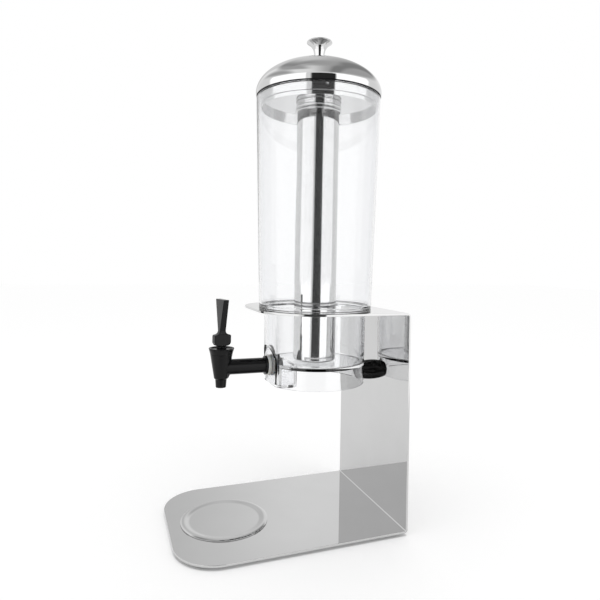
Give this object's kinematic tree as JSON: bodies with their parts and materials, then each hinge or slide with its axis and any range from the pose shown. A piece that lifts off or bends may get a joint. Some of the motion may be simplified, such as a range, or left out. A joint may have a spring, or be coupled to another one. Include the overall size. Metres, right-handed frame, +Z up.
{
  "type": "drink tower dispenser",
  "caption": "Tall clear drink container with an ice tube and domed steel lid, held in a bent steel stand over a drip tray, with a self-closing lever tap.",
  "frame": {"origin": "middle of the stand's footprint, on the table", "axes": "+Z up, the tap faces -Y, the upright is at +Y, and X is the width"},
  "size_m": [0.19, 0.2644, 0.6063],
  "materials": {
    "mirror_steel": "mirror polished stainless steel",
    "lid_steel": "polished, spun stainless steel",
    "tube_steel": "polished drawn stainless tube",
    "fastener_steel": "plain stainless fasteners and spring",
    "insert_brass": "plain",
    "clear_plastic": "clear polycarbonate",
    "black_plastic": "moulded, half gloss",
    "black_rubber": "satin",
    "seal_rubber": "satin",
    "pale_silicone": "matt silicone",
    "grey_plastic": "satin",
    "white_plastic": "satin"
  },
  "bodies": {
    "stand": {"stand_frame": "mirror_steel", "foot_pads": "black_rubber", "rear_bumper": "black_rubber", "bumper_insert": "insert_brass", "bumper_screw": "fastener_steel", "container_wall": "clear_plastic", "container_base": "clear_plastic", "container_floor": "clear_plastic", "tap_body": "black_plastic", "tap_bonnet": "black_plastic", "tap_washer_outer": "pale_silicone", "tap_washer_inner": "pale_silicone", "tap_lock_nut": "grey_plastic", "tap_spring": "fastener_steel"},
    "valve": {"seat_cup": "pale_silicone"},
    "spindle": {"tap_stem": "white_plastic", "lever_pin": "fastener_steel"},
    "lever": {"tap_lever": "black_plastic"},
    "tray": {"drip_tray": "mirror_steel"},
    "lid": {"lid_dome": "lid_steel", "lid_pan": "lid_steel", "lid_seal": "seal_rubber", "lid_knob": "lid_steel", "knob_screw": "fastener_steel", "knob_washer": "fastener_steel", "tube_collar": "tube_steel", "tube_seal": "pale_silicone"},
    "tube": {"ice_tube": "tube_steel"}
  },
  "joints": [
    {"name": "lid_lift", "type": "slide", "parent": "stand", "child": "lid", "axis": [0, 0, 1], "range_m": [0, 0.36]},
    {"name": "tube_twist", "type": "hinge", "parent": "lid", "child": "tube", "pos_m": [0, 0.0472, 0.515], "axis": [0, 0, 1], "range_deg": [0, 60]},
    {"name": "tray_lift", "type": "slide", "parent": "stand", "child": "tray", "axis": [0, 0, 1], "range_m": [0, 0.1]},
    {"name": "valve_lift", "type": "slide", "parent": "stand", "child": "valve", "axis": [0, 0, 1], "range_m": [0, 0.0035], "deforming": ["tap_spring"]},
    {"name": "tap_swivel", "type": "hinge", "parent": "valve", "child": "spindle", "pos_m": [0, -0.0732, 0.2107], "axis": [0, 0, 1], "range_deg": [-101, 79]},
    {"name": "tap_lever", "type": "hinge", "parent": "spindle", "child": "lever", "pos_m": [0, -0.0732, 0.22412], "axis": [0.9816, 0.1908, 0], "range_deg": [0, 40], "stiffness_Nm_per_rad": 0.03, "springref_deg": -49.85}
  ],
  "couplings": [
    {"joint": "valve_lift", "follows": "tap_lever", "m_per_rad": 0.0046}
  ]
}
